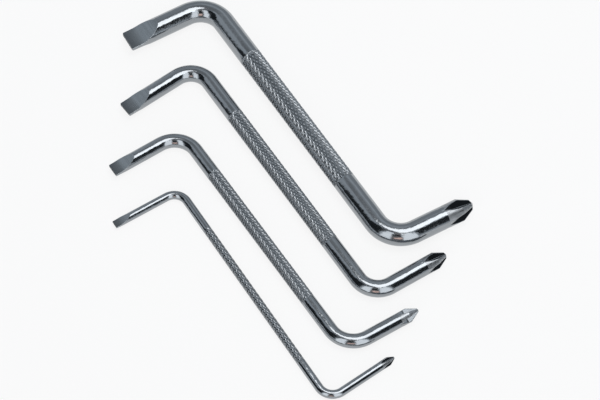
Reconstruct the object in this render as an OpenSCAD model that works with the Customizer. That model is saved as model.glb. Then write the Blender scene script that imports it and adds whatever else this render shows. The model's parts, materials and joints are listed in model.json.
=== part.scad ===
// Set of four offset screwdrivers lying side by side on a table.
// Each one is a single bar of plated tool steel, bent into a Z, with a slotted blade on one arm,
// a cross point on the other arm and a diamond knurl along the middle of the shank.
// Origin: the middle of the set, on the table. +X runs along the shanks from the slotted arms to
// the cross arms, +Y is the way the cross arms point, +Z is up.

/* [Large driver] */
// Diameter of the bar
large_bar_d = 8; // [7.5:0.1:8.5]
// Shank, between the corners where the axes of the arms meet its own axis
large_shank_l = 116.7; // [110:0.1:124]
// Bend radius on the centreline of the bar
large_bend_r = 10; // [9:0.1:12]
// Slotted arm, from its corner to the end of the blade
large_slot_reach = 33.4; // [31:0.1:36]
// Angle inside the bend of the slotted arm
large_slot_angle = 92.8; // [89:0.1:95]
// Thickness of the blade at its end
large_blade_t = 1.2; // [1:0.05:1.6]
// Nearly flat end of the blade
large_blade_l = 5; // [4:0.1:6]
// Wedge between the round bar and the flat end of the blade
large_wedge_l = 7.3; // [6:0.1:8]
// Cross arm, from its corner to the end of the point
large_cross_reach = 32; // [30:0.1:34]
// Angle inside the bend of the cross arm
large_cross_angle = 94.2; // [90:0.1:96]
// Diameter of the cross point where its cone ends
large_point_d = 3.8; // [3.4:0.1:4.2]
// Flutes of the cross point, from where they leave the bar to the end
large_flute_l = 11.2; // [10:0.1:12]
// Turn of the cross point about its arm
large_roll_angle = 37; // [0:1:90]
// Knurled length of the shank
large_knurl_l = 60.8; // [50:0.1:66]
// How far the knurl sits off the middle of the shank, towards the cross arm
large_knurl_shift = -0.3; // [-2:0.1:2]
// Number of grooves that cross the knurl each way
large_groove_count = 17; // [14:1:20]
// Distance between two grooves along the shank
large_knurl_pitch = 2.56; // [2.2:0.02:3]
// Turn of the whole driver on the table
large_yaw = -0.3; // [-1:0.1:1]

/* [Medium driver] */
// Diameter of the bar
medium_bar_d = 6; // [5.6:0.1:6.4]
// Shank, between the corners where the axes of the arms meet its own axis
medium_shank_l = 110.1; // [104:0.1:116]
// Bend radius on the centreline of the bar
medium_bend_r = 8; // [7:0.1:10]
// Slotted arm, from its corner to the end of the blade
medium_slot_reach = 31; // [29:0.1:33]
// Angle inside the bend of the slotted arm
medium_slot_angle = 85.8; // [84:0.1:92]
// Thickness of the blade at its end
medium_blade_t = 1; // [0.8:0.05:1.3]
// Nearly flat end of the blade
medium_blade_l = 3.9; // [3:0.1:5]
// Wedge between the round bar and the flat end of the blade
medium_wedge_l = 6.5; // [5:0.1:7.5]
// Cross arm, from its corner to the end of the point
medium_cross_reach = 30.1; // [28:0.1:32]
// Angle inside the bend of the cross arm
medium_cross_angle = 91.3; // [89:0.1:94]
// Diameter of the cross point where its cone ends
medium_point_d = 2.3; // [2:0.1:2.7]
// Flutes of the cross point, from where they leave the bar to the end
medium_flute_l = 8.9; // [8:0.1:10]
// Turn of the cross point about its arm
medium_roll_angle = 38; // [0:1:90]
// Knurled length of the shank
medium_knurl_l = 61.1; // [50:0.1:66]
// How far the knurl sits off the middle of the shank, towards the cross arm
medium_knurl_shift = 0.5; // [-2:0.1:2]
// Number of grooves that cross the knurl each way
medium_groove_count = 15; // [12:1:18]
// Distance between two grooves along the shank
medium_knurl_pitch = 2.18; // [1.9:0.02:2.6]
// Turn of the whole driver on the table
medium_yaw = 0.1; // [-1:0.1:1]

/* [Small driver] */
// Diameter of the bar
small_bar_d = 5; // [4.7:0.1:5.4]
// Shank, between the corners where the axes of the arms meet its own axis
small_shank_l = 100.9; // [95:0.1:107]
// Bend radius on the centreline of the bar
small_bend_r = 9; // [7:0.1:10]
// Slotted arm, from its corner to the end of the blade
small_slot_reach = 28.3; // [26:0.1:31]
// Angle inside the bend of the slotted arm
small_slot_angle = 90; // [87:0.1:93]
// Thickness of the blade at its end
small_blade_t = 0.8; // [0.6:0.05:1.1]
// Nearly flat end of the blade
small_blade_l = 2.6; // [2:0.1:4]
// Wedge between the round bar and the flat end of the blade
small_wedge_l = 6.2; // [5:0.1:7]
// Cross arm, from its corner to the end of the point
small_cross_reach = 28.5; // [26:0.1:31]
// Angle inside the bend of the cross arm
small_cross_angle = 92.5; // [89:0.1:95]
// Diameter of the cross point where its cone ends
small_point_d = 1.3; // [1.1:0.1:1.6]
// Flutes of the cross point, from where they leave the bar to the end
small_flute_l = 7.7; // [7:0.1:9]
// Turn of the cross point about its arm
small_roll_angle = 18; // [0:1:90]
// Knurled length of the shank
small_knurl_l = 60.4; // [50:0.1:64]
// How far the knurl sits off the middle of the shank, towards the cross arm
small_knurl_shift = -0.7; // [-2:0.1:2]
// Number of grooves that cross the knurl each way
small_groove_count = 13; // [10:1:16]
// Distance between two grooves along the shank
small_knurl_pitch = 2.12; // [1.9:0.02:2.5]
// Turn of the whole driver on the table
small_yaw = 0.6; // [-1:0.1:1]

/* [Mini driver] */
// Diameter of the bar
mini_bar_d = 3; // [2.8:0.1:3.3]
// Shank, between the corners where the axes of the arms meet its own axis
mini_shank_l = 94; // [89:0.1:99]
// Bend radius on the centreline of the bar
mini_bend_r = 5.2; // [4:0.1:7]
// Slotted arm, from its corner to the end of the blade
mini_slot_reach = 25.6; // [23:0.1:28]
// Angle inside the bend of the slotted arm
mini_slot_angle = 90.2; // [87:0.1:93]
// Thickness of the blade at its end
mini_blade_t = 0.5; // [0.4:0.05:0.7]
// Nearly flat end of the blade
mini_blade_l = 1.6; // [1:0.1:2.5]
// Wedge between the round bar and the flat end of the blade
mini_wedge_l = 4.6; // [3.5:0.1:5.5]
// Cross arm, from its corner to the end of the point
mini_cross_reach = 26.8; // [25:0.1:29]
// Angle inside the bend of the cross arm
mini_cross_angle = 86.9; // [85:0.1:91]
// Diameter of the cross point where its cone ends
mini_point_d = 0.8; // [0.7:0.05:1]
// Flutes of the cross point, from where they leave the bar to the end
mini_flute_l = 5.5; // [5:0.1:6.5]
// Turn of the cross point about its arm
mini_roll_angle = 35; // [0:1:90]
// Knurled length of the shank
mini_knurl_l = 60; // [50:0.1:64]
// How far the knurl sits off the middle of the shank, towards the cross arm
mini_knurl_shift = 1.1; // [-2:0.1:2]
// Number of grooves that cross the knurl each way
mini_groove_count = 7; // [6:1:9]
// Distance between two grooves along the shank
mini_knurl_pitch = 2.2; // [1.9:0.02:2.6]
// Turn of the whole driver on the table
mini_yaw = -0.4; // [-1:0.1:1]

/* [Layout on the table] */
// Clear gap between the shanks of the large and the medium driver, at their cross corners
large_medium_gap = 9.7; // [8:0.1:13]
// Clear gap between the cross arms of the large and the medium driver, at their corners
large_medium_step = 5.75; // [5:0.05:9]
// Clear gap between the shanks of the medium and the small driver, at their cross corners
medium_small_gap = 12.4; // [9:0.1:15]
// Clear gap between the cross arms of the medium and the small driver, at their corners
medium_small_step = 6.05; // [5:0.05:9]
// Clear gap between the shanks of the small and the mini driver, at their cross corners
small_mini_gap = 10.5; // [8:0.1:13]
// Clear gap between the cross arms of the small and the mini driver, at their corners
small_mini_step = 7.95; // [6:0.05:10]
// Least clear gap between two slotted arms, at their corners
slotted_arms_gap = 5; // [4:0.5:8]

/* [Hidden] */
$fn = 64;

// Angle between the axis and the cone of a cross point
cone_angle = 26.5;
// Angle between the blunt end of a cross point and a plane square to its axis
end_angle = 28;
// Shares of the bar's diameter: half the thickness of the four wings of a cross point before the end
// walls of its flutes begin, where they stop and at the point, and how far these end walls lean
wing_rim_share = 0.36;
wing_root_share = 0.19;
wing_end_share = 0.06;
flute_lean_share = 0.45;
// Share of its end thickness that a blade has gained where its wedge starts
blade_gain_share = 0.25;
// Share of the bar's diameter that rounds the two corners of a blade
corner_share = 0.06;
// Shares of the bar's diameter: crests of the knurl below the bar, and depth of its grooves
crest_drop_share = 0.004;
groove_share = 0.022;
// Share of the bar's diameter that it loses where it is bent
bend_thin_share = 0.006;
// Shares of the bar's diameter: what it loses where a blade or a cross point is worked into it, and
// the length of the taper that leads to it
worked_thin_share = 0.004;
worked_taper_share = 0.2;
// Angle by which a bend reaches into the straight bar at each of its ends
bend_lap_angle = 1.5;
// Share of the bar's diameter by which a cutter runs past what it cuts
overrun_share = 0.25;
// Step, in degrees, at which a bend is followed to find the outer limits of the set
limit_step_angle = 1;

// What one driver is made from, in this order
large = [large_bar_d, large_shank_l, large_bend_r, large_slot_reach, large_slot_angle, large_cross_reach,
    large_cross_angle, large_point_d, large_yaw];
medium = [medium_bar_d, medium_shank_l, medium_bend_r, medium_slot_reach, medium_slot_angle,
    medium_cross_reach, medium_cross_angle, medium_point_d, medium_yaw];
small = [small_bar_d, small_shank_l, small_bend_r, small_slot_reach, small_slot_angle, small_cross_reach,
    small_cross_angle, small_point_d, small_yaw];
mini = [mini_bar_d, mini_shank_l, mini_bend_r, mini_slot_reach, mini_slot_angle, mini_cross_reach,
    mini_cross_angle, mini_point_d, mini_yaw];
function bar_d(tool) = tool[0];
function shank_l(tool) = tool[1];
function bend_r(tool) = tool[2];
function slot_reach(tool) = tool[3];
function slot_angle(tool) = tool[4];
function cross_reach(tool) = tool[5];
function cross_angle(tool) = tool[6];
function point_d(tool) = tool[7];
function yaw(tool) = tool[8];

// Length that a bend takes off each of the two legs that meet at a corner
function bend_leg(radius, angle) = radius / tan(angle / 2);

// Diameter of the bar where a blade or a cross point is worked into it
function worked_d(bar_d) = bar_d * (1 - worked_thin_share);

// Along a cross arm, from its corner: where its cone ends, and where the cone leaves the bar
function shoulder(tool) = cross_reach(tool) - point_d(tool) / 2 * tan(end_angle);
function cone_start(tool) = shoulder(tool) - (worked_d(bar_d(tool)) - point_d(tool)) / 2 / tan(cone_angle);

// Cross corners of the four drivers before the set is centred, the large one at zero
large_corner = [0, 0];
medium_corner = next_corner(large_corner, large, medium, large_medium_step, large_medium_gap);
small_corner = next_corner(medium_corner, medium, small, medium_small_step, medium_small_gap);
mini_corner = next_corner(small_corner, small, mini, small_mini_step, small_mini_gap);
function next_corner(corner, tool, next, step, gap) =
    corner
    + (bar_d(tool) + bar_d(next)) / 2 * [1, -1]
    + [max(step, slotted_arms_gap + shank_l(next) - shank_l(tool)), -gap];

// Outline points of one driver on the table that can be its outer limits
function turned(point, angle) = [
    point[0] * cos(angle) - point[1] * sin(angle),
    point[0] * sin(angle) + point[1] * cos(angle)
];
function arm_limits(bar_d, bend_r, reach, full_reach, angle) = concat(
    [turned([reach, 0], -angle)],
    [for (side = [-1, 1]) turned([full_reach, side * worked_d(bar_d) / 2], -angle)],
    [for (a = [0 : limit_step_angle : 180 - angle])
        [bend_leg(bend_r, angle), -bend_r] + (bend_r + bar_d / 2) * [-sin(a), cos(a)]]
);
function slotted_limits(tool) =
    arm_limits(bar_d(tool), bend_r(tool), slot_reach(tool), slot_reach(tool), slot_angle(tool));
function cross_limits(tool) =
    arm_limits(bar_d(tool), bend_r(tool), cross_reach(tool), cone_start(tool), cross_angle(tool));
function driver_limits(tool, corner) = [
    for (point = concat(
        [for (p = slotted_limits(tool)) p - [shank_l(tool), 0]],
        [for (p = cross_limits(tool)) -p]
    )) corner + turned(point, yaw(tool))
];
set_limits = concat(
    driver_limits(large, large_corner),
    driver_limits(medium, medium_corner),
    driver_limits(small, small_corner),
    driver_limits(mini, mini_corner)
);
set_centre = [for (axis = [0, 1])
    (min([for (p = set_limits) p[axis]]) + max([for (p = set_limits) p[axis]])) / 2];

// Points and faces of a diamond knurl: rows of points, low and high in turn, half a pitch apart.
// Low points are where two grooves cross, high ones are the crests of the diamonds.
function knurl_points(starts, rows, pitch, crest_r, root_r) = [
    for (row = [0 : rows], k = [0 : 2 * starts - 1])
        let (r = (row + k) % 2 == 0 ? root_r : crest_r, turn = 180 * k / starts)
        [r * cos(turn), r * sin(turn), row * pitch / 2]
];
function knurl_faces(starts, rows) = concat(
    [[for (k = [0 : 2 * starts - 1]) k]],
    [[for (k = [2 * starts - 1 : -1 : 0]) rows * 2 * starts + k]],
    [for (row = [0 : rows - 1], k = [0 : 2 * starts - 1], half = [0, 1])
        let (
            next = (k + 1) % (2 * starts),
            a = row * 2 * starts + k,
            b = row * 2 * starts + next,
            c = (row + 1) * 2 * starts + next,
            d = (row + 1) * 2 * starts + k
        )
        (row + k) % 2 == 0
            ? (half == 0 ? [a, c, b] : [a, d, c])
            : (half == 0 ? [a, d, b] : [b, d, c])
    ]
);

// Knurled stretch of a bar along +Z, its middle at the origin. It ends half a row inside the plain
// bar at each end.
module knurl(bar_d, length, starts, pitch) {
    rows = 2 * round(length / pitch) + 1;
    crest_r = bar_d * (1 / 2 - crest_drop_share);
    translate([0, 0, -rows * pitch / 4])
        polyhedron(
            knurl_points(starts, rows, pitch, crest_r, crest_r - bar_d * groove_share),
            knurl_faces(starts, rows)
        );
}

// Bend of a bar whose corner is at the origin: one leg runs along +X, the other turns towards -Y
module bend(bar_d, radius, angle) {
    translate([bend_leg(radius, angle), -radius, 0])
        rotate([0, 0, 90 - bend_lap_angle])
            rotate_extrude(angle = 180 - angle + 2 * bend_lap_angle)
                translate([radius, 0])
                    circle(d = bar_d * (1 - bend_thin_share));
}

// Turns what is drawn along +Z into the arm that leaves the corner at the origin
module along_arm(angle) {
    rotate([0, 0, -angle])
        rotate([0, 90, 0])
            children();
}

// Slotted arm along +Z, its corner at the origin, the wide faces of its blade looking along X
module slotted_arm(bar_d, start, reach, blade_t, blade_l, wedge_l) {
    r = bar_d / 2;
    over = bar_d * overrun_share;
    root_x = blade_t / 2 * (1 + blade_gain_share);
    wedge_end = reach - blade_l;
    slope = (r - root_x) / wedge_l;
    corner_r = bar_d * corner_share;
    difference() {
        worked_arm(bar_d, start, wedge_end - wedge_l, [[worked_d(bar_d) / 2, reach], [0, reach]]);
        for (side = [0, 180])
            rotate([90, 0, side])
                linear_extrude(height = bar_d + over, center = true)
                    polygon([
                        [r + over, wedge_end - wedge_l - over / slope],
                        [root_x, wedge_end],
                        [blade_t / 2, reach],
                        [blade_t / 2, reach + over],
                        [r + over, reach + over]
                    ]);
        for (side = [-1, 1])
            blade_corner(side, worked_d(bar_d) / 2, reach, corner_r, over);
    }
}

// Round arm along +Z from the end of its bend, a hair thinner from where its tip is worked. The last
// points of its outline give the tip.
module worked_arm(bar_d, start, worked_start, tip) {
    rotate_extrude()
        polygon(concat(
            [
                [0, start],
                [bar_d / 2, start],
                [bar_d / 2, worked_start],
                [worked_d(bar_d) / 2, worked_start + bar_d * worked_taper_share]
            ],
            tip
        ));
}

// What is ground off one corner at the end of a blade
module blade_corner(side, r, reach, corner_r, over) {
    rotate([0, 90, 0])
        linear_extrude(height = r * 2 + over, center = true)
            difference() {
                translate([-reach + corner_r / 2 - over / 2, side * (r - corner_r / 2 + over / 2)])
                    square(corner_r + over, center = true);
                translate([-reach + corner_r, side * (r - corner_r)])
                    circle(r = corner_r);
            }
}

// Cross arm of a driver along +Z, its corner at the origin
module cross_arm(tool, start, flute_l, roll) {
    difference() {
        worked_arm(bar_d(tool), start, cross_reach(tool) - flute_l, [
            [worked_d(bar_d(tool)) / 2, cone_start(tool)],
            [point_d(tool) / 2, shoulder(tool)],
            [0, cross_reach(tool)]
        ]);
        for (quarter = [0 : 90 : 270])
            rotate([0, 0, roll + quarter])
                flute(bar_d(tool), cross_reach(tool), flute_l);
    }
}

// What is cut away for one flute between two wings, which lie along +X and +Y
module flute(bar_d, reach, flute_l) {
    intersection() {
        beside_wing(bar_d, reach, flute_l);
        rotate([0, 0, 90])
            beside_wing(bar_d, reach, flute_l);
    }
}

// All that lies beyond one side of the wing along +Y, which gets thinner towards the point
module beside_wing(bar_d, reach, flute_l) {
    over = bar_d * overrun_share;
    rim = bar_d * wing_rim_share;
    root = bar_d * wing_root_share;
    end = bar_d * wing_end_share;
    lean = bar_d * flute_lean_share;
    start = reach - flute_l;
    rotate([90, 0, 0])
        linear_extrude(height = 2 * (bar_d + over), center = true)
            polygon([
                [rim + over * (rim - root) / lean, start - over],
                [root, start + lean],
                [end, reach],
                [end, reach + over],
                [bar_d, reach + over],
                [bar_d, start - over]
            ]);
}

// One driver lying flat, its cross corner above the origin
module offset_driver(tool, corner, blade_t, blade_l, wedge_l, flute_l, roll, knurl_l, knurl_shift,
    groove_count, knurl_pitch) {
    d = bar_d(tool);
    slot_leg = bend_leg(bend_r(tool), slot_angle(tool));
    cross_leg = bend_leg(bend_r(tool), cross_angle(tool));
    knurl_x = -shank_l(tool) / 2 + knurl_shift;
    plain_gap = knurl_pitch * round(knurl_l / knurl_pitch);
    translate([corner[0] - set_centre[0], corner[1] - set_centre[1], d / 2])
        rotate([0, 0, yaw(tool)]) {
            translate([-shank_l(tool), 0, 0]) {
                bend(d, bend_r(tool), slot_angle(tool));
                along_arm(slot_angle(tool))
                    slotted_arm(d, slot_leg, slot_reach(tool), blade_t, blade_l, wedge_l);
                translate([slot_leg, 0, 0])
                    rotate([0, 90, 0])
                        cylinder(d = d, h = shank_l(tool) + knurl_x - plain_gap / 2 - slot_leg);
            }
            translate([knurl_x, 0, 0])
                rotate([0, 90, 0])
                    knurl(d, knurl_l, groove_count, knurl_pitch);
            translate([knurl_x + plain_gap / 2, 0, 0])
                rotate([0, 90, 0])
                    cylinder(d = d, h = -cross_leg - knurl_x - plain_gap / 2);
            rotate([0, 0, 180]) {
                bend(d, bend_r(tool), cross_angle(tool));
                along_arm(cross_angle(tool))
                    cross_arm(tool, cross_leg, flute_l, roll);
            }
        }
}

module driver_8mm() {
    color("silver")
        offset_driver(large, large_corner, large_blade_t, large_blade_l, large_wedge_l, large_flute_l,
            large_roll_angle, large_knurl_l, large_knurl_shift, large_groove_count, large_knurl_pitch);
}

module driver_6mm() {
    color("silver")
        offset_driver(medium, medium_corner, medium_blade_t, medium_blade_l, medium_wedge_l, medium_flute_l,
            medium_roll_angle, medium_knurl_l, medium_knurl_shift, medium_groove_count, medium_knurl_pitch);
}

module driver_5mm() {
    color("silver")
        offset_driver(small, small_corner, small_blade_t, small_blade_l, small_wedge_l, small_flute_l,
            small_roll_angle, small_knurl_l, small_knurl_shift, small_groove_count, small_knurl_pitch);
}

module driver_3mm() {
    color("silver")
        offset_driver(mini, mini_corner, mini_blade_t, mini_blade_l, mini_wedge_l, mini_flute_l,
            mini_roll_angle, mini_knurl_l, mini_knurl_shift, mini_groove_count, mini_knurl_pitch);
}

driver_8mm();
driver_6mm();
driver_5mm();
driver_3mm();
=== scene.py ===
"""Set of four offset screwdrivers: the plated bars with their blades, knurls and cross points, and
a plain photo table. Each bar is one skin of rings that follow the driver from blade to cross point."""
import json
import math

import bpy
from bpy.props import FloatProperty, FloatVectorProperty, IntProperty, PointerProperty, StringProperty
from bpy.types import Operator, Panel, PropertyGroup
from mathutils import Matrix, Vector


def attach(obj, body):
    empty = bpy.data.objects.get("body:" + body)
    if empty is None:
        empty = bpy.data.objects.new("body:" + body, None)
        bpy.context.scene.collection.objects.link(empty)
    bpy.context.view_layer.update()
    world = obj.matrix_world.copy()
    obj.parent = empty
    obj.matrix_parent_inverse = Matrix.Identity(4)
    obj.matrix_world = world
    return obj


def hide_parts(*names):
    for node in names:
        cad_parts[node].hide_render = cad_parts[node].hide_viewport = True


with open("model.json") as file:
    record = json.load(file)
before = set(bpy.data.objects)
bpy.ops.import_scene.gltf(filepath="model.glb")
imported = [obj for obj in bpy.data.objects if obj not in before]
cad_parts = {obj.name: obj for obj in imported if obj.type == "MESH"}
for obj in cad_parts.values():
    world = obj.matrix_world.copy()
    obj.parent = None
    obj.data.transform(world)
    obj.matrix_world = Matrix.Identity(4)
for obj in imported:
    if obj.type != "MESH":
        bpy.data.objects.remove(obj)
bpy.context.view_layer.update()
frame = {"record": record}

bl_info = {
    "name": "Offset screwdriver set",
    "version": (1, 0, 0),
    "blender": (4, 5, 0),
    "location": "View3D > Sidebar > Drivers",
    "description": "Builds a set of four offset screwdrivers and their photo table",
    "category": "Add Mesh",
}

MM = 0.001

# Node, body, ending of the mounts' names and settings of each driver
DRIVERS = {
    "large": ("driver_8mm", "large_driver", "_8mm"),
    "medium": ("driver_6mm", "medium_driver", "_6mm"),
    "small": ("driver_5mm", "small_driver", "_5mm"),
    "mini": ("driver_3mm", "mini_driver", "_3mm"),
}

# Shares of a bar's diameter: the bar where it is worked; half the thickness of the wings of a cross
# point before the end walls of its flutes begin, where these walls stop and at the point; rounding of
# the wings' edges, lean of the end walls and the hollow where they stop
WORKED_SHARE = 0.996
WING_RIM_SHARE = 0.36
WING_ROOT_SHARE = 0.19
WING_END_SHARE = 0.06
WING_EDGE_SHARE = 0.012
FLUTE_LEAN_SHARE = 0.45
FLUTE_HOLLOW_SHARE = 0.03
# Rounding of a blade's edges and of the corners of its end, drop of the knurl's crests, depth of its
# grooves, what a bend loses, and distance of the rings beside a sharp edge
BLADE_EDGE_SHARE = 0.02
BLADE_CORNER_SHARE = 0.06
CREST_DROP_SHARE = 0.004
GROOVE_SHARE = 0.035
BEND_THIN_SHARE = 0.006
SUPPORT_SHARE = 0.012
# Share of its end thickness that a blade has gained where its wedge starts, and shares of the bar's
# radius and of a cone's radius that bound the wedge's hollow and the wings of a thin cone
BLADE_GAIN_SHARE = 0.25
WEDGE_HOLLOW_SHARE = 0.16
THIN_WING_SHARE = 0.69
# Share of the depth of a groove above which a diamond of the knurl is flat
DIAMOND_FLAT_SHARE = 0.65
# Share of a bend over which it gets thinner, and power by which a cross arm does before its point
BEND_FADE_SHARE = 1 / 8
TAPER_POWER = 8
# Cone of a cross point against its axis, and its blunt end against the plane across the axis
CONE_ANGLE = math.radians(26.5)
END_ANGLE = math.radians(28)
# Half width, seen from the bar's axis, of a wing where the flutes leave the bar
RIM_ANGLE = math.radians(44)
# Half width, seen from the bar's axis, of the flat where a wedge begins
WEDGE_START_ANGLE = math.radians(1.2)

# Faces round an edge of a blade, and share of a quarter's other faces that lie on the round flank
EDGE_FACES = 3
FLANK_FACE_SHARE = 0.45
# Share of an eighth's faces that lie on the land of a wing, and faces from there to just below its edge
LAND_FACE_SHARE = 0.42
RIM_FACES = 3
# Share of a flat's half width where its first point beside the edge lies
BESIDE_EDGE_SHARE = 0.97
# Shares of a flute's wall: its rounded edge at most, the middle of that edge in its own width, and
# the first point below the edge; and how the further points gather at the edge
WALL_EDGE_SHARE = 0.3
EDGE_MIDDLE_SHARE = 0.3
BELOW_EDGE_SHARE = 0.05
WALL_EASE = 1.5
# Rings: along a plain arm, round a bend, round the corner of a blade, along a wedge, a cone, the end
# wall of a flute and the plain part of a shank
ARM_RINGS = 16
BEND_RINGS = 40
CORNER_RINGS = 6
WEDGE_RINGS = 32
CONE_RINGS = 12
FLUTE_RINGS = 14
SHANK_RINGS = 3
# First ring round a blade's corner, in widths of its rounded edge, and distance of the rings along a
# blade as a share of the bar's radius
FIRST_CORNER_RING = 1.5
BLADE_RING_SHARE = 0.1
# Rings as shares of the straight wings and of the blunt end
WING_RINGS = (0.06, 0.2, 0.4, 0.65)
END_RINGS = (0.06, 0.2, 0.4, 0.6, 0.8)

# Finishes, in the order of the material slots of a driver
BAR, KNURL, BLADE, FLUTE, LAND = range(5)


def length(name, description, value, least=0.0):
    """Length property; its default is given in millimetres"""
    return FloatProperty(name=name, description=description, default=value * MM, min=least,
                         unit="LENGTH", precision=5)


def driver_sizes(bend_radius, blade_thickness, blade_length, point_diameter, point_turn, knurl_length,
                 knurl_shift, groove_count, knurl_pitch, cuts):
    """Size properties of one driver"""
    return {
        "bend_radius": length("Bend radius", "Radius of both bends on the bar's centreline", bend_radius),
        "blade_thickness": length("Blade thickness", "Thickness of the blade at its end", blade_thickness),
        "blade_length": length("Blade length", "Nearly flat end of the blade", blade_length),
        "point_diameter": length("Point diameter", "Diameter where the cone of the cross point ends",
                                 point_diameter),
        "point_turn": FloatProperty(name="Point turn", description="Turn of the cross point about its arm",
                                    default=math.radians(point_turn), unit="ROTATION"),
        "knurl_length": length("Knurl length", "Knurled length of the shank", knurl_length),
        "knurl_shift": length("Knurl shift", "Distance of the knurl from the middle of the shank",
                              knurl_shift, -1),
        "groove_count": IntProperty(name="Grooves", description="Grooves that cross the knurl each way",
                                    default=groove_count, min=4),
        "knurl_pitch": length("Knurl pitch", "Distance between two grooves along the shank", knurl_pitch),
        "cuts": IntProperty(name="Cuts", description="Faces along each side of half a diamond, 4 or 8",
                            default=cuts, min=4, max=8, step=4),
    }


class OFFSETSET_PG_large(PropertyGroup):
    """Sizes of the large driver"""
    __annotations__ = driver_sizes(10, 1.2, 5, 3.8, 37, 60.8, -0.3, 17, 2.56, 4)


class OFFSETSET_PG_medium(PropertyGroup):
    """Sizes of the medium driver"""
    __annotations__ = driver_sizes(8, 1, 3.9, 2.3, 38, 61.1, 0.5, 15, 2.18, 4)


class OFFSETSET_PG_small(PropertyGroup):
    """Sizes of the small driver"""
    __annotations__ = driver_sizes(9, 0.8, 2.6, 1.3, 18, 60.4, -0.7, 13, 2.12, 4)


class OFFSETSET_PG_mini(PropertyGroup):
    """Sizes of the mini driver"""
    __annotations__ = driver_sizes(5.2, 0.5, 1.6, 0.8, 35, 60, 1.1, 7, 2.2, 8)


def colour(name, description, value):
    return FloatVectorProperty(name=name, description=description, default=value, subtype="COLOR",
                               size=3, min=0, max=1)


def factor(name, description, value):
    return FloatProperty(name=name, description=description, default=value, subtype="FACTOR",
                         min=0, max=1)


class OFFSETSET_PG_finish(PropertyGroup):
    """Colours and gloss of the plated steel"""
    plating: colour("Plating", "Colour of the bright plating", (0.315, 0.334, 0.352))
    # The knurl's plating is the bar's plating made darker: painted shade of the knurl's relief
    shaded_knurl_plating: colour("Knurl plating", "Colour of the plating on the knurl", (0.275, 0.292, 0.308))
    # Dark colour of dirt in pits and streaks, also used as painted shade in the knurl's grooves and towards a
    # blade's end
    grime_and_shade: colour("Grime", "Colour of what stays in grooves and pits", (0.04, 0.043, 0.046))
    ground: colour("Ground steel", "Colour of the ground faces of the blades", (0.315, 0.34, 0.36))
    forged: colour("Forged steel", "Colour of the forged wings", (0.36, 0.375, 0.39))
    # Lighter colour of the knurl's crests: wear and a painted highlight
    worn: colour("Worn crests", "Colour of the worn crests of the knurl", (0.34, 0.36, 0.38))
    bar_roughness: factor("Bar roughness", "Roughness of the plain bar", 0.13)
    knurl_roughness: factor("Knurl roughness", "Roughness of the knurl", 0.12)
    blade_roughness: factor("Blade roughness", "Roughness of the ground faces", 0.26)
    flute_roughness: factor("Flute roughness", "Roughness of the flutes", 0.12)
    land_roughness: factor("Land roughness", "Roughness of the forged wings", 0.34)


class OFFSETSET_PG_studio(PropertyGroup):
    """Table, lamp, surroundings and camera"""
    table_radius: length("Table radius", "Radius of the round table", 3000)
    table: colour("Table", "Colour of the table", (0.9, 0.9, 0.9))
    table_glow: factor("Table glow", "Share of the table that shows as plain white", 0.84)
    lamp_height: length("Lamp height", "Height of the softbox above the table", 620)
    lamp_width: length("Lamp width", "Width of the softbox", 405)
    lamp_depth: length("Lamp depth", "Depth of the softbox", 350)
    lamp_power: FloatProperty(name="Lamp power", description="Power of the softbox", default=1.15,
                              unit="POWER")
    surroundings: colour("Surroundings", "Colour of the plain far side of the room", (0.57, 0.62, 0.67))
    lens: FloatProperty(name="Lens", description="Focal length of the camera, in millimetres",
                        default=131.6, min=1)


class OFFSETSET_PG_settings(PropertyGroup):
    """All settings of the set"""
    large: PointerProperty(type=OFFSETSET_PG_large)
    medium: PointerProperty(type=OFFSETSET_PG_medium)
    small: PointerProperty(type=OFFSETSET_PG_small)
    mini: PointerProperty(type=OFFSETSET_PG_mini)
    finish: PointerProperty(type=OFFSETSET_PG_finish)
    studio: PointerProperty(type=OFFSETSET_PG_studio)


def mix(start, end, share):
    return start + (end - start) * share


def ease(share):
    return share * share * (3 - 2 * share)


def soft_max(first, second, hollow):
    """Larger of two values, with a small hollow where they meet"""
    near = max(hollow - abs(first - second), 0)
    return max(first, second) + near * near / (4 * hollow)


# Where a driver runs


def left_of(heading):
    return Vector((-math.sin(heading), math.cos(heading)))


def ahead(heading):
    return Vector((math.cos(heading), math.sin(heading)))


def flat(values):
    return Vector(values[:2])


class Course:
    """Line that the axis of one driver follows on the table, and the lengths of its stretches"""

    def __init__(self, ending, bend_radius):
        mounts = {mount["name"]: mount for mount in frame["record"]["mounts"]}
        slotted = mounts["slotted_arm" + ending]
        cross = mounts["cross_arm" + ending]
        blade_end = flat(mounts["blade_end" + ending]["pos_m"])
        point_end = flat(mounts["cross_point" + ending]["pos_m"])
        outward = flat(slotted["axis"])
        self.radius = slotted["dims"]["r_mm"] * MM
        self.bend_radius = bend_radius
        self.slotted_arm = slotted["dims"]["length_mm"] * MM
        self.cross_arm = cross["dims"]["length_mm"] * MM
        self.blade_start = flat(slotted["pos_m"]) + outward * self.slotted_arm / 2
        self.blade_end = blade_end
        self.worked_blade = (blade_end - self.blade_start).length
        self.headings = [math.atan2(-outward.y, -outward.x), 0,
                         math.atan2(cross["axis"][1], cross["axis"][0])]
        onward = ahead(self.headings[2])
        self.cross_start = flat(cross["pos_m"]) - onward * self.cross_arm / 2
        self.flutes = (point_end - self.cross_start).length - self.cross_arm
        slotted_bend = self.blade_start - outward * self.slotted_arm - left_of(self.headings[0]) * bend_radius
        cross_bend = self.cross_start + left_of(self.headings[2]) * bend_radius
        between = cross_bend - slotted_bend
        self.headings[1] = math.atan2(between.y, between.x) - math.asin(2 * bend_radius / between.length)
        side = left_of(self.headings[1]) * bend_radius
        self.bends = (slotted_bend, cross_bend)
        self.shank_start = slotted_bend + side
        self.shank = (cross_bend - side - self.shank_start).length

    def knurl_middle(self, shift):
        """Distance from the start of the shank to the middle of the knurl"""
        start_turn, end_turn = (abs(self.headings[i + 1] - self.headings[i]) for i in (0, 1))
        before = self.bend_radius * math.tan(start_turn / 2)
        after = self.bend_radius * math.tan(end_turn / 2)
        return (self.shank + after - before) / 2 + shift


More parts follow.
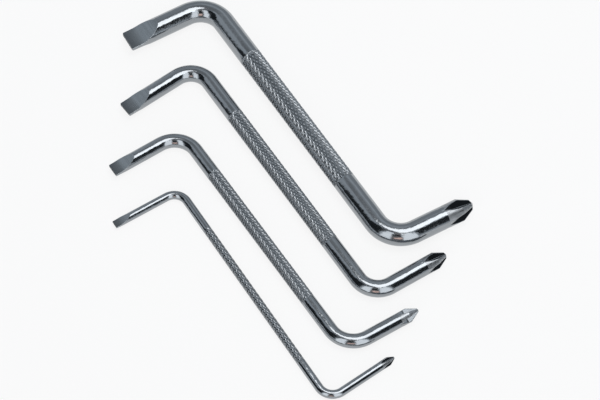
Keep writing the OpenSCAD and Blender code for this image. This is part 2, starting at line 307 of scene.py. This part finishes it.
class Skin:
    """Rings of points laid one after another along a driver. A ring's points are given as (along,
    left, up) from a place on the axis, and run round from the left over the top."""

    def __init__(self, count, axis_height):
        self.count = count
        self.axis_height = axis_height
        self.points = []
        self.faces = []
        self.finishes = []
        self.unbent = []
        self.reliefs = []
        self.travel = 0.0
        self.last_place = None

    def ring(self, place, heading, points, finish=BAR, reliefs=None, split=None):
        """Adds a ring and joins it to the one before, with one finish or one for each face.
        split(index) is 1 or 2 where a quad is cut along one of its diagonals."""
        if self.last_place is not None:
            self.travel += (place - self.last_place).length
        self.last_place = place.copy()
        first = len(self.points)
        go, side = ahead(heading), left_of(heading)
        for index, (along, left, up) in enumerate(points):
            spot = place + go * along + side * left
            self.points.append((spot.x, spot.y, self.axis_height + up))
            self.unbent.append((left, up, self.travel + along))
            self.reliefs.append(reliefs[index] if reliefs else 1.0)
        if first:
            self.join(first, finish, split)

    def join(self, first, finish, split):
        before = first - self.count
        for index in range(self.count):
            after = (index + 1) % self.count
            a, b = before + index, before + after
            c, d = first + after, first + index
            own = finish if isinstance(finish, int) else finish[index]
            cut = split(index) if split else 0
            if cut == 1:
                self.add([(a, b, c), (a, c, d)], own)
            elif cut == 2:
                self.add([(a, b, d), (b, c, d)], own)
            else:
                self.add([(a, b, c, d)], own)

    def add(self, faces, finish):
        self.faces += faces
        self.finishes += [finish] * len(faces)

    def close_start(self, finish):
        """Flat end across the first ring, from its upper to its lower half"""
        half = self.count // 2
        for index in range(half):
            upper = (index, index + 1)
            lower = tuple((self.count - i) % self.count for i in reversed(upper))
            corners = lower + tuple(reversed(upper))
            self.add([tuple(dict.fromkeys(corners))], finish)

    def close_end(self, place, finish):
        """Tip beyond the last ring"""
        first = len(self.points) - self.count
        self.travel += (place - self.last_place).length
        self.points.append((place.x, place.y, self.axis_height))
        self.unbent.append((0, 0, self.travel))
        self.reliefs.append(1.0)
        tip = len(self.points) - 1
        self.add([(first + i, first + (i + 1) % self.count, tip) for i in range(self.count)], finish)

    def build(self, name, materials):
        """Mesh of the skin, with two attributes for the finishes: unbent, the place on the driver as if
        it were straight, and relief, the height over the grooves"""
        mesh = bpy.data.meshes.new(name)
        mesh.from_pydata(self.points, [], self.faces)
        for material in materials:
            mesh.materials.append(material)
        mesh.polygons.foreach_set("material_index", self.finishes)
        smooth = [finish != KNURL for finish in self.finishes]
        mesh.polygons.foreach_set("use_smooth", smooth)
        unbent = mesh.attributes.new("unbent", "FLOAT_VECTOR", "POINT")
        unbent.data.foreach_set("vector", [value for point in self.unbent for value in point])
        relief = mesh.attributes.new("relief", "FLOAT", "POINT")
        relief.data.foreach_set("value", self.reliefs)
        if mesh.validate():
            raise RuntimeError("the skin of " + name + " has bad faces")
        mesh.update()
        piece = bpy.data.objects.new(name, mesh)
        bpy.context.scene.collection.objects.link(piece)
        return piece


def circle(angles, radius, along=0.0):
    return [(along, radius * math.cos(angle), radius * math.sin(angle)) for angle in angles]


def even_angles(count):
    return [2 * math.pi * index / count for index in range(count)]


# Blade


def blade_quarter(radius, half, edge, count):
    """Quarter of a section of the bar ground to a half thickness, from its left side to its top:
    round flank, rounded edge and flat face"""
    corner = EDGE_FACES
    flank = flank_steps(count)
    face = count - corner - flank
    edge_left = math.sqrt(max((radius - edge) ** 2 - (half - edge) ** 2, 0))
    lap = math.atan2(half - edge, edge_left)
    points = [(radius * math.cos(lap * i / flank), radius * math.sin(lap * i / flank)) for i in range(flank)]
    for i in range(corner):
        angle = mix(lap, math.pi / 2, i / corner)
        points.append((edge_left + edge * math.cos(angle), half - edge + edge * math.sin(angle)))
    points.append((edge_left, half))
    for i in range(face):
        points.append((edge_left * BESIDE_EDGE_SHARE * (1 - i / (face - 1)), half))
    return points


def flank_steps(count):
    """Faces across half a flank of a blade, out of those in a quarter of a ring"""
    return round((count - EDGE_FACES) * FLANK_FACE_SHARE)


def blade_finishes(count):
    """Finish of each face round a ring of the blade: its flats are ground"""
    quarter = count // 4
    edge = flank_steps(quarter) + EDGE_FACES
    steps = [index % (2 * quarter) for index in range(count)]
    return [BLADE if min(step, 2 * quarter - 1 - step) >= edge else BAR for step in steps]


def whole_blade(quarter):
    """Whole ring of (left, up) from its first quarter"""
    upper = quarter[:-1] + [(-left, up) for left, up in reversed(quarter[1:])]
    return upper + [(-left, -up) for left, up in upper]


class Blade:
    """Slotted end of a driver, measured from its tip"""

    def __init__(self, course, sizes):
        self.radius = course.radius
        self.edge = course.radius * 2 * BLADE_EDGE_SHARE
        self.corner = course.radius * 2 * BLADE_CORNER_SHARE
        self.blade = sizes.blade_length
        self.wedge = course.worked_blade - sizes.blade_length
        self.end_half = sizes.blade_thickness / 2
        self.root_half = self.end_half * (1 + BLADE_GAIN_SHARE)

    def half(self, along):
        """Half thickness, with a small hollow where wedge and blade meet"""
        blade = mix(self.end_half, self.root_half, along / self.blade)
        wedge = mix(self.root_half, self.radius, (along - self.blade) / self.wedge)
        half = soft_max(blade, wedge, self.radius * WEDGE_HOLLOW_SHARE)
        return min(half, self.radius * math.cos(WEDGE_START_ANGLE))

    def stations(self):
        """Distance from the tip and inset of each ring"""
        found = []
        for step in range(EDGE_FACES):
            angle = math.pi / 2 * step / EDGE_FACES
            found.append((self.edge * (1 - math.cos(angle)), self.edge * (1 - math.sin(angle))))
        found.append((self.edge, 0))
        for step in range(1, CORNER_RINGS + 1):
            along = self.corner * (1 - math.cos(math.pi / 2 * step / CORNER_RINGS))
            if along > self.edge * FIRST_CORNER_RING:
                found.append((along, 0))
        steps = round((self.blade - self.corner) / (self.radius * BLADE_RING_SHARE))
        found += [(mix(self.corner, self.blade, i / steps), 0) for i in range(1, steps)]
        widest = math.acos(self.root_half / self.radius)
        for step in range(WEDGE_RINGS + 1):
            angle = mix(widest, WEDGE_START_ANGLE, step / WEDGE_RINGS)
            share = (self.radius * math.cos(angle) - self.root_half) / (self.radius - self.root_half)
            found.append((self.blade + self.wedge * share, 0))
        return found

    def rings(self, count):
        """(along, ring) from the tip to where the wedge leaves the bar"""
        for along, inset in self.stations():
            quarter = blade_quarter(self.radius, self.half(along), self.edge, count // 4)
            reach = self.radius - inset
            if along < self.corner:
                reach -= self.corner - math.sqrt(self.corner ** 2 - (self.corner - along) ** 2)
            narrow = reach / self.radius
            thin = 1 - inset / self.half(along)
            yield along, [(left * narrow, up * thin) for left, up in whole_blade(quarter)]


# Cross point


class CrossPoint:
    """Four wings and flutes at the end of a driver, measured from where the flutes leave the bar"""

    def __init__(self, course, sizes):
        self.bar = course.radius * 2
        self.worked = course.radius * WORKED_SHARE
        self.end = course.flutes
        self.point = sizes.point_diameter / 2
        self.turn = sizes.point_turn
        self.rim = self.bar * WING_RIM_SHARE
        self.root = self.bar * WING_ROOT_SHARE
        self.lean = self.bar * FLUTE_LEAN_SHARE
        self.shoulder = self.end - self.point * math.tan(END_ANGLE)
        self.cone = self.shoulder - (self.worked - self.point) / math.tan(CONE_ANGLE)

    def wing_half(self, along):
        """Half thickness of a wing, with a small hollow where the end wall of a flute stops"""
        wall = mix(self.rim, self.root, along / self.lean)
        wing = mix(self.root, self.bar * WING_END_SHARE, (along - self.lean) / (self.end - self.lean))
        return soft_max(wall, wing, self.bar * FLUTE_HOLLOW_SHARE)

    def eighth(self, along, radius, count):
        """Section at an outer radius, as (angle, radius) from the middle of a wing to the bottom of a
        flute: land of the wing, its edge and the wall of the flute"""
        side = min(self.wing_half(along), radius * THIN_WING_SHARE)
        corner = math.asin(side / radius)
        wall_length = radius * math.cos(corner) - side
        edge = min(self.bar * WING_EDGE_SHARE, wall_length * WALL_EDGE_SHARE)
        land = land_steps(count)
        land_end = corner - edge / radius
        points = [(land_end * i / land, radius) for i in range(land + 1)]
        middle = EDGE_MIDDLE_SHARE * edge
        points.append((corner - middle / radius, radius - middle))
        steps = count - land - RIM_FACES
        gathered = [1 - (1 - i / steps) ** WALL_EASE for i in range(steps + 1)]
        shares = [0] + [mix(BELOW_EDGE_SHARE, 1, share) for share in gathered]
        spots = [(mix(side + wall_length - edge, side, share), side) for share in shares]
        return points + [(math.atan2(y, x), math.hypot(x, y)) for x, y in spots]

    def whole(self, along, radius, count):
        """Whole ring as (along, angle, radius), turned so that its first point is near the left"""
        section = self.eighth(along, radius, count // 8)
        mirrored = [(math.pi / 2 - angle, size) for angle, size in reversed(section[1:-1])]
        quarter = section + mirrored
        ring = []
        for index in range(count):
            turns, rest = divmod(index - self.first(count), len(quarter))
            angle, size = quarter[rest]
            ring.append((along, self.turn + angle + turns * math.pi / 2, size))
        return ring

    def first(self, count):
        """Index of the point in the middle of the first wing"""
        return round(self.turn / (2 * math.pi) * count)

    def finishes(self, count):
        """Finish of each face round a ring"""
        eighth = count // 8
        found = []
        for index in range(count):
            rest = (index - self.first(count)) % (2 * eighth)
            found.append(FLUTE if min(rest, 2 * eighth - 1 - rest) > land_steps(eighth) else LAND)
        return found

    def radius_at(self, along):
        if along <= self.cone:
            return self.worked
        if along <= self.shoulder:
            return mix(self.worked, self.point, (along - self.cone) / (self.shoulder - self.cone))
        return mix(self.point, 0, (along - self.shoulder) / (self.end - self.shoulder))

    def stations(self):
        """Distances of the rings from the rims of the flutes to the tip"""
        slope = (self.rim - self.root) / self.lean
        last = math.asin(self.root / self.worked)
        found = []
        for step in range(FLUTE_RINGS + 1):
            corner = mix(RIM_ANGLE, last, step / FLUTE_RINGS)
            found.append((self.rim - self.worked * math.sin(corner)) / slope)
        found += [mix(self.lean, self.cone, share) for share in WING_RINGS]
        support = self.bar * SUPPORT_SHARE
        found += [self.cone - support, self.cone, self.cone + support]
        found += [mix(self.cone, self.shoulder, i / CONE_RINGS) for i in range(1, CONE_RINGS)]
        found += [self.shoulder - support, self.shoulder]
        return found + [mix(self.shoulder, self.end, share) for share in END_RINGS]

    def rings(self, count):
        return [self.whole(along, self.radius_at(along), count) for along in self.stations()]


def land_steps(count):
    """Faces across half the land of a wing, out of those in an eighth of a ring"""
    return round(count * LAND_FACE_SHARE)


# Knurl


def cell_shares(cuts):
    """Where the faces of half a diamond are cut"""
    return tuple(step / cuts for step in range(cuts))


def knurl_relief(row, column, along, around):
    """Height over the grooves at a place in half a diamond, 0 in a groove and 1 on a crest"""
    rising = (row + column) % 2 == 0
    height = abs(along - around) if rising else abs(along + around - 1)
    return min(height / DIAMOND_FLAT_SHARE, 1)


def knurl_stretch(course, sizes):
    """Place on the shank where the knurl starts, its number of rows and their length"""
    rows = 2 * round(sizes.knurl_length / sizes.knurl_pitch)
    row_length = sizes.knurl_pitch / 2
    return course.knurl_middle(sizes.knurl_shift) - rows * row_length / 2, rows, row_length


def lay_knurl(skin, course, sizes):
    """Rings of the diamond knurl; it fades into the plain bar over half a diamond at each end"""
    bar = course.radius * 2
    shares = cell_shares(sizes.cuts)
    columns = 2 * sizes.groove_count
    start, rows, row_length = knurl_stretch(course, sizes)
    heading = course.headings[1]
    angles = [2 * math.pi * (column + share) / columns for column in range(columns) for share in shares]
    places = [(row, share) for row in range(rows) for share in shares] + [(rows, 0)]
    groove = None
    for row, share in places:
        fade = ease(min(1, row + share, rows - row - share))
        reliefs = [knurl_relief(row, column, share, around) for column in range(columns) for around in shares]
        ring = []
        for angle, relief in zip(angles, reliefs):
            cut = bar * (CREST_DROP_SHARE + GROOVE_SHARE * (1 - relief)) * fade
            radius = course.radius - cut
            ring.append((0, radius * math.cos(angle), radius * math.sin(angle)))
        faded = [mix(1, relief, fade) for relief in reliefs]
        place = course.shank_start + ahead(heading) * (start + (row + share) * row_length)
        skin.ring(place, heading, ring, KNURL if groove else BAR, faded, groove)
        groove = groove_cut(row, shares.index(share), len(shares))


def groove_cut(row, step, cuts):
    """Tells which diagonal the groove takes through the faces that follow a ring of the knurl"""
    def split(index):
        column, around = divmod(index, cuts)
        if (row + column) % 2 == 0:
            return 2 if around == step else 0
        return 1 if around == cuts - 1 - step else 0
    return split


# One driver


def lay_bend(skin, course, which):
    """Rings round a bend, a hair thinner in its middle"""
    start, end = course.headings[which], course.headings[which + 1]
    outside = 1 if which == 0 else -1
    angles = even_angles(skin.count)
    for step in range(1, BEND_RINGS):
        share = step / BEND_RINGS
        heading = mix(start, end, share)
        thin = 1 - BEND_THIN_SHARE * ease(min(1, share / BEND_FADE_SHARE, (1 - share) / BEND_FADE_SHARE))
        place = course.bends[which] + left_of(heading) * course.bend_radius * outside
        skin.ring(place, heading, circle(angles, course.radius * thin))


def lay_slotted_arm(skin, course, sizes):
    """Rings from the end of the blade to the slotted bend"""
    heading = course.headings[0]
    blade = Blade(course, sizes)
    finishes = blade_finishes(skin.count)
    for along, points in blade.rings(skin.count):
        ring = [(0, left, up) for left, up in points]
        skin.ring(course.blade_end + ahead(heading) * along, heading, ring, finishes)
    even = even_angles(skin.count)
    worked = [math.atan2(up, left) % (2 * math.pi) for left, up in points]
    for step in range(1, ARM_RINGS + 1):
        share = step / ARM_RINGS
        angles = [mix(a, b, ease(share)) for a, b in zip(worked, even)]
        place = course.blade_start + ahead(heading) * course.slotted_arm * share
        skin.ring(place, heading, circle(angles, course.radius))


def lay_cross_arm(skin, course, sizes):
    """Rings from the cross bend to the end of the cross point"""
    heading = course.headings[2]
    point = CrossPoint(course, sizes)
    rings = point.rings(skin.count)
    even = even_angles(skin.count)
    rim = [angle for _, angle, _ in rings[0]]
    for step in range(ARM_RINGS):
        share = step / ARM_RINGS
        radius = mix(course.radius, point.worked, share ** TAPER_POWER)
        angles = [mix(start, end, ease(share)) for start, end in zip(even, rim)]
        place = course.cross_start + ahead(heading) * course.cross_arm * share
        skin.ring(place, heading, circle(angles, radius))
    rim_place = course.cross_start + ahead(heading) * course.cross_arm
    finishes = point.finishes(skin.count)
    for number, ring in enumerate(rings):
        points = [(along, r * math.cos(angle), r * math.sin(angle)) for along, angle, r in ring]
        skin.ring(rim_place, heading, points, finishes if number else BAR)
    skin.close_end(rim_place + ahead(heading) * course.flutes, LAND)


def lay_shank(skin, course, sizes):
    """Rings of the shank between the two bends; the knurl lays the rings at both of its ends"""
    heading = course.headings[1]
    section = circle(even_angles(skin.count), course.radius)
    start, rows, row_length = knurl_stretch(course, sizes)
    end = start + rows * row_length
    shares = [step / SHANK_RINGS for step in range(SHANK_RINGS + 1)]
    for share in shares[:-1]:
        skin.ring(course.shank_start + ahead(heading) * mix(0, start, share), heading, section)
    lay_knurl(skin, course, sizes)
    for share in shares[1:]:
        skin.ring(course.shank_start + ahead(heading) * mix(end, course.shank, share), heading, section)


def build_driver(size):
    """One driver from the blade to the cross point, in place of its node"""
    node, body, ending = DRIVERS[size]
    sizes = getattr(settings(), size)
    course = Course(ending, sizes.bend_radius)
    skin = Skin(2 * sizes.groove_count * sizes.cuts, course.radius)
    lay_slotted_arm(skin, course, sizes)
    lay_bend(skin, course, 0)
    lay_shank(skin, course, sizes)
    lay_bend(skin, course, 1)
    lay_cross_arm(skin, course, sizes)
    skin.close_start(BLADE)
    piece = skin.build(size + "_offset_screwdriver", [bpy.data.materials[name] for name, _ in FINISHES])
    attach(piece, body)
    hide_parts(node)
    return piece


# Materials


class Tree:
    """Shader nodes of one material or of the surroundings"""

    def __init__(self, tree):
        self.tree = tree
        tree.nodes.clear()

    def feed(self, socket, value):
        """Gives a socket a value or what another socket puts out"""
        if isinstance(value, bpy.types.NodeSocket):
            self.tree.links.new(value, socket)
        else:
            socket.default_value = value

    def node(self, kind, inputs=None, **options):
        made = self.tree.nodes.new("ShaderNode" + kind)
        for name, value in options.items():
            setattr(made, name, value)
        for key, value in (inputs or {}).items():
            self.feed(made.inputs[key], value)
        return made

    def math(self, operation, *values):
        return self.node("Math", dict(enumerate(values)), operation=operation).outputs[0]

    def ramp(self, value, low, high, low_out=0.0, high_out=1.0):
        """Eases from one value to another while the input goes from low to high"""
        inputs = {"Value": value, "From Min": low, "From Max": high, "To Min": low_out, "To Max": high_out}
        return self.node("MapRange", inputs, interpolation_type="SMOOTHSTEP").outputs[0]

    def blend(self, share, start, end):
        """Mixes two colours"""
        return self.node("Mix", {0: share, 6: start, 7: end}, data_type="RGBA").outputs[2]

    def pattern(self, place, steps, detail=3):
        """Noise over a driver, with its steps per metre across and along the bar"""
        across, along = steps
        scales = {0: place, 1: (across, across, along)}
        spread = self.node("VectorMath", scales, operation="MULTIPLY").outputs[0]
        return self.node("TexNoise", {"Vector": spread, "Scale": 1.0, "Detail": detail}).outputs[0]

    def scaled(self, value, share):
        return self.math("MULTIPLY", value, share)

    def output(self, surface, kind="OutputMaterial"):
        self.node(kind, {"Surface": surface})


def rgba(values):
    return (*values, 1.0)


# Patterns in the finishes, in steps per metre across and along the bar
PITS = (2400, 2400)
CLOUDS = (260, 260)
BAR_STREAKS = (2600, 90)
BAR_WAVES = (900, 450)
KNURL_GRAIN = (5200, 5200)
GRINDING_LINES = (180, 9000)
GRINDING_BANDS = (60, 300)
FLUTE_LINES = (3600, 700)
FORGING_LINES = (2800, 200)
# Heights of the patterns that can be felt, in metres
WAVE_HEIGHT = 0.00006
GRAIN_HEIGHT = 0.000008
GRINDING_HEIGHT = 0.000005
FLUTE_HEIGHT = 0.00001
FORGING_HEIGHT = 0.00003
# How dark a pit gets, and how much of the clouds, of a finish's own pattern and of the grinding lines
# the gloss follows
PIT_SHARE = 0.5
CLOUD_GLOSS_SHARE = 0.5
OWN_GLOSS_SHARE = 0.5
GRINDING_GLOSS_SHARE = 0.6
# How much the grain adds to the knurl's relief, and the bands to the grinding lines
GRAIN_SHARE = 0.3
BAND_SHARE = 1.5
# Distances from the end of a blade between which its painted shade fades, and how unevenly it does
DARK_END = (0.001, 0.006)
DARK_END_SWING = 0.003


def plated_material(name, roughness, spread, tint, detail):
    """Plated steel. detail(tree, place, tint) returns the colour, a pattern that can be felt, its height
    and a pattern that the gloss follows"""
    material = bpy.data.materials.new(name)
    material.use_nodes = True
    tree = Tree(material.node_tree)
    finish = settings().finish
    place = tree.node("Attribute", attribute_name="unbent").outputs["Vector"]
    pits = tree.ramp(tree.pattern(place, PITS), low=0.7, high=0.78)
    clouds = tree.scaled(tree.pattern(place, CLOUDS), CLOUD_GLOSS_SHARE)
    tone, felt, height, blur = detail(tree, place, rgba(tint))
    tone = tree.blend(tree.scaled(pits, PIT_SHARE), tone, rgba(finish.grime_and_shade))
    gloss = tree.ramp(tree.math("ADD", clouds, blur), low=0.25, high=0.9,
                      low_out=roughness - spread, high_out=roughness + spread)
    bump = tree.node("Bump", {"Height": felt, "Distance": height, "Strength": 1.0}).outputs[0]
    metal = {"Base Color": tone, "Metallic": 1.0, "Roughness": gloss, "Normal": bump}
    tree.output(tree.node("BsdfPrincipled", metal).outputs[0])


def grimed(tree, tint, pattern, low, high, most):
    """Colour with grime where a pattern is high"""
    return tree.blend(tree.ramp(pattern, low, high, high_out=most), tint, rgba(settings().finish.grime_and_shade))


def bar_detail(tree, place, tint):
    """Drawn bar under bright plating: faint streaks along it and a slight unevenness"""
    streaks = tree.pattern(place, BAR_STREAKS)
    tone = grimed(tree, tint, streaks, low=0.52, high=0.85, most=0.35)
    return tone, tree.pattern(place, BAR_WAVES), WAVE_HEIGHT, tree.scaled(streaks, OWN_GLOSS_SHARE)


def knurl_detail(tree, place, tint):
    """Rolled diamonds: dirt and painted shade in grooves, wear and a painted highlight on crests"""
    finish = settings().finish
    relief = tree.node("Attribute", attribute_name="relief").outputs["Fac"]
    grain = tree.pattern(place, KNURL_GRAIN)
    uneven = tree.math("ADD", relief, tree.scaled(grain, GRAIN_SHARE))
    # Dirt and painted shade along the grooves, where the relief is low
    groove_grime_and_shade = tree.ramp(uneven, low=0.12, high=0.5, low_out=0.6, high_out=0)
    # Crests lighter from wear and a painted highlight
    worn_and_highlit_crests = tree.ramp(relief, low=0.6, high=1, high_out=0.25)
    tone = tree.blend(groove_grime_and_shade, tree.blend(worn_and_highlit_crests, tint, rgba(finish.worn)), rgba(finish.grime_and_shade))
    return tone, grain, GRAIN_HEIGHT, tree.scaled(grain, OWN_GLOSS_SHARE)


def blade_detail(tree, place, tint):
    """Ground faces: fine grinding lines across the blade, with painted shade that darkens it towards its end
    """
    lines = tree.pattern(place, GRINDING_LINES, detail=4)
    bands = tree.pattern(place, GRINDING_BANDS, detail=2)
    both = tree.math("ADD", lines, tree.scaled(bands, BAND_SHARE))
    tone = grimed(tree, tint, both, low=1, high=1.6, most=0.35)
    travel = tree.node("SeparateXYZ", {0: place}).outputs[2]
    uneven = tree.math("ADD", travel, tree.scaled(bands, DARK_END_SWING))
    # Painted shade, darker towards the end of the blade
    painted_end_shade = tree.ramp(uneven, *DARK_END, low_out=0.5, high_out=0)
    tone = tree.blend(painted_end_shade, tone, rgba(settings().finish.grime_and_shade))
    return tone, lines, GRINDING_HEIGHT, tree.scaled(lines, GRINDING_GLOSS_SHARE)


def flute_detail(tree, place, tint):
    """Pressed flutes: faint lines along the wings"""
    lines = tree.pattern(place, FLUTE_LINES)
    tone = grimed(tree, tint, lines, low=0.5, high=0.8, most=0.4)
    return tone, lines, FLUTE_HEIGHT, tree.scaled(lines, OWN_GLOSS_SHARE)


def land_detail(tree, place, tint):
    """Forged wings: rough, with scratches along the arm"""
    lines = tree.pattern(place, FORGING_LINES)
    tone = grimed(tree, tint, lines, low=0.5, high=0.7, most=0.8)
    return tone, lines, FORGING_HEIGHT, tree.scaled(lines, OWN_GLOSS_SHARE)


# Name of each finish, and how far its roughness swings either way
FINISHES = (
    ("plated_bar", 0.025),
    ("plated_knurl", 0.02),
    ("ground_blade", 0.08),
    ("plated_flute", 0.04),
    ("forged_land", 0.06),
)


class OFFSETSET_OT_finishes(Operator):
    """Makes the finishes of the bar, the knurl, the blade and the cross point"""
    bl_idname = "offset_set.finishes"
    bl_label = "Make finishes"

    def execute(self, context):
        finish = settings().finish
        made = (
            (finish.bar_roughness, finish.plating, bar_detail),
            (finish.knurl_roughness, finish.shaded_knurl_plating, knurl_detail),
            (finish.blade_roughness, finish.ground, blade_detail),
            (finish.flute_roughness, finish.plating, flute_detail),
            (finish.land_roughness, finish.forged, land_detail),
        )
        for (name, spread), (roughness, tint, detail) in zip(FINISHES, made):
            plated_material(name, roughness, spread, tint, detail)
        return {"FINISHED"}


class OFFSETSET_OT_driver(Operator):
    """Builds one offset screwdriver in place of its node"""
    bl_idname = "offset_set.driver"
    bl_label = "Build driver"
    size: StringProperty(name="Size", description="large, medium, small or mini", default="large")

    def execute(self, context):
        if self.size not in DRIVERS:
            raise RuntimeError("there is no driver named " + self.size)
        build_driver(self.size)
        return {"FINISHED"}


# Stage

# Camera and what it looks at, and the middle of the softbox above the table
CAMERA_PLACE = Vector((0.32545, -0.19923, 0.6511))
CAMERA_TARGET = Vector((0.009857, 0.005721, 0))
LAMP_PLACE = Vector((0.03, 0.131))
# How far the camera sees, in metres, and sides of the round table
CAMERA_REACH = 20
TABLE_SIDES = 96

# Colours of the patches of the surroundings
CEILING = (0.26, 0.27, 0.29)
BLACK = (0.022, 0.026, 0.03)
GAP = (0.27, 0.26, 0.26)
WHITE = (1.8, 1.85, 1.9)
WARM = (1.6, 1.1, 0.95)
WALL = (0.4, 0.435, 0.47)
PALE_WALL = (0.6, 0.65, 0.7)
DARK_WALL = (0.28, 0.3, 0.32)
# Least and greatest bearing, from +X towards -Y in degrees
BEARINGS = (-90.0, 270.0)
# Patches: bearing of the middle and half width, lowest and highest elevation, softness of the edges,
# all in degrees, and colour
PATCHES = (
    (228, 34, -8, 72, 12, WALL),
    (232, 24, 35, 50, 9, PALE_WALL),
    (184, 34, 58, 76, 10, DARK_WALL),
    (90, 200, 72, 100, 5, CEILING),
    (-44, 33, 12, 62, 4, BLACK),
    (-75, 12, 52, 66, 5, WHITE),
    (103, 20, 6, 70, 4, BLACK),
    (36, 22, -12, 74, 3, GAP),
    (38, 9, 14, 27, 6, WARM),
    (36, 22, 40, 60, 4, BLACK),
    (9.5, 16.5, -8, 68, 3, WHITE),
    (66, 12, -8, 68, 4, WHITE),
)


def make_surroundings(studio):
    """Room around the table: plain walls, two white panels and dark gaps between them"""
    world = bpy.data.worlds.new("surroundings")
    world.use_nodes = True
    bpy.context.scene.world = world
    tree = Tree(world.node_tree)
    direction = tree.node("TexCoord").outputs["Generated"]
    parts = tree.node("SeparateXYZ", {0: direction}).outputs
    degrees = 180 / math.pi
    bearing = tree.math("ARCTAN2", tree.scaled(parts[1], -1.0), parts[0])
    least, greatest = BEARINGS
    bearing = tree.math("WRAP", tree.scaled(bearing, degrees), greatest, least)
    elevation = tree.scaled(tree.math("ARCSINE", parts[2]), degrees)
    tone = rgba(studio.surroundings)
    for middle, half, low, high, soft, patch in PATCHES:
        aside = tree.math("ABSOLUTE", tree.math("SUBTRACT", bearing, float(middle)))
        across = tree.ramp(aside, half - soft / 2, half + soft / 2, 1, 0)
        above = tree.ramp(elevation, low - soft / 2, low + soft / 2)
        below = tree.ramp(elevation, high - soft / 2, high + soft / 2, 1, 0)
        share = tree.scaled(tree.scaled(across, above), below)
        tone = tree.blend(share, tone, rgba(patch))
    tree.output(tree.node("Background", {"Color": tone, "Strength": 1.0}).outputs[0], "OutputWorld")


def make_lamp(studio):
    lamp = bpy.data.lights.new("softbox", "AREA")
    lamp.shape = "RECTANGLE"
    lamp.size = studio.lamp_width
    lamp.size_y = studio.lamp_depth
    lamp.energy = studio.lamp_power
    holder = bpy.data.objects.new("softbox", lamp)
    holder.location = (*LAMP_PLACE, studio.lamp_height)
    bpy.context.scene.collection.objects.link(holder)


def make_table(studio):
    """Round table, pale under the lamps and partly plain white to camera, gloss and glass"""
    material = bpy.data.materials.new("table_top")
    material.use_nodes = True
    tree = Tree(material.node_tree)
    rays = tree.node("LightPath").outputs
    seen = tree.math("MAXIMUM", rays["Is Camera Ray"], rays["Is Glossy Ray"])
    seen = tree.math("MAXIMUM", seen, rays["Is Transmission Ray"])
    share = tree.scaled(seen, studio.table_glow)
    matt = tree.node("BsdfDiffuse", {"Color": rgba(studio.table)}).outputs[0]
    white = tree.node("Emission", {"Color": (1, 1, 1, 1), "Strength": 1.0}).outputs[0]
    tree.output(tree.node("MixShader", {0: share, 1: matt, 2: white}).outputs[0])
    round_edge = circle(even_angles(TABLE_SIDES), studio.table_radius)
    points = [(left, up, 0) for _, left, up in round_edge]
    mesh = bpy.data.meshes.new("table_top")
    mesh.from_pydata(points, [], [tuple(range(TABLE_SIDES))])
    mesh.materials.append(material)
    table = bpy.data.objects.new("table_top", mesh)
    bpy.context.scene.collection.objects.link(table)


def make_camera(studio):
    data = bpy.data.cameras.new("camera")
    data.lens = studio.lens
    data.clip_end = CAMERA_REACH
    camera = bpy.data.objects.new("camera", data)
    camera.location = CAMERA_PLACE
    camera.rotation_euler = (CAMERA_TARGET - CAMERA_PLACE).to_track_quat("-Z", "Y").to_euler()
    bpy.context.scene.collection.objects.link(camera)
    bpy.context.scene.camera = camera


class OFFSETSET_OT_stage(Operator):
    """Makes the table, the softbox, the surroundings and the camera"""
    bl_idname = "offset_set.stage"
    bl_label = "Make stage"

    def execute(self, context):
        studio = settings().studio
        make_surroundings(studio)
        make_lamp(studio)
        make_table(studio)
        make_camera(studio)
        context.scene.view_settings.view_transform = "Standard"
        return {"FINISHED"}


class OFFSETSET_PT_panel(Panel):
    """Sizes, finishes and stage of the set"""
    bl_idname = "OFFSETSET_PT_panel"
    bl_label = "Offset screwdrivers"
    bl_space_type = "VIEW_3D"
    bl_region_type = "UI"
    bl_category = "Drivers"

    def draw(self, context):
        layout = self.layout
        layout.operator("offset_set.stage")
        layout.operator("offset_set.finishes")
        for size in DRIVERS:
            layout.operator("offset_set.driver", text="Build " + size + " driver").size = size
        for name in (*DRIVERS, "finish", "studio"):
            group = getattr(settings(), name)
            box = layout.box()
            box.label(text=name.capitalize())
            for prop in group.bl_rna.properties:
                if prop.identifier not in ("name", "rna_type"):
                    box.prop(group, prop.identifier)


CLASSES = (
    OFFSETSET_PG_large,
    OFFSETSET_PG_medium,
    OFFSETSET_PG_small,
    OFFSETSET_PG_mini,
    OFFSETSET_PG_finish,
    OFFSETSET_PG_studio,
    OFFSETSET_PG_settings,
    OFFSETSET_OT_finishes,
    OFFSETSET_OT_driver,
    OFFSETSET_OT_stage,
    OFFSETSET_PT_panel,
)


def settings():
    return bpy.context.scene.offset_set


def register():
    for cls in CLASSES:
        bpy.utils.register_class(cls)
    bpy.types.Scene.offset_set = PointerProperty(type=OFFSETSET_PG_settings)


def unregister():
    del bpy.types.Scene.offset_set
    for cls in reversed(CLASSES):
        bpy.utils.unregister_class(cls)


def main():
    register()
    bpy.ops.offset_set.stage()
    bpy.ops.offset_set.finishes()
    for size in DRIVERS:
        bpy.ops.offset_set.driver(size=size)


if __name__ == "__main__":
    main()
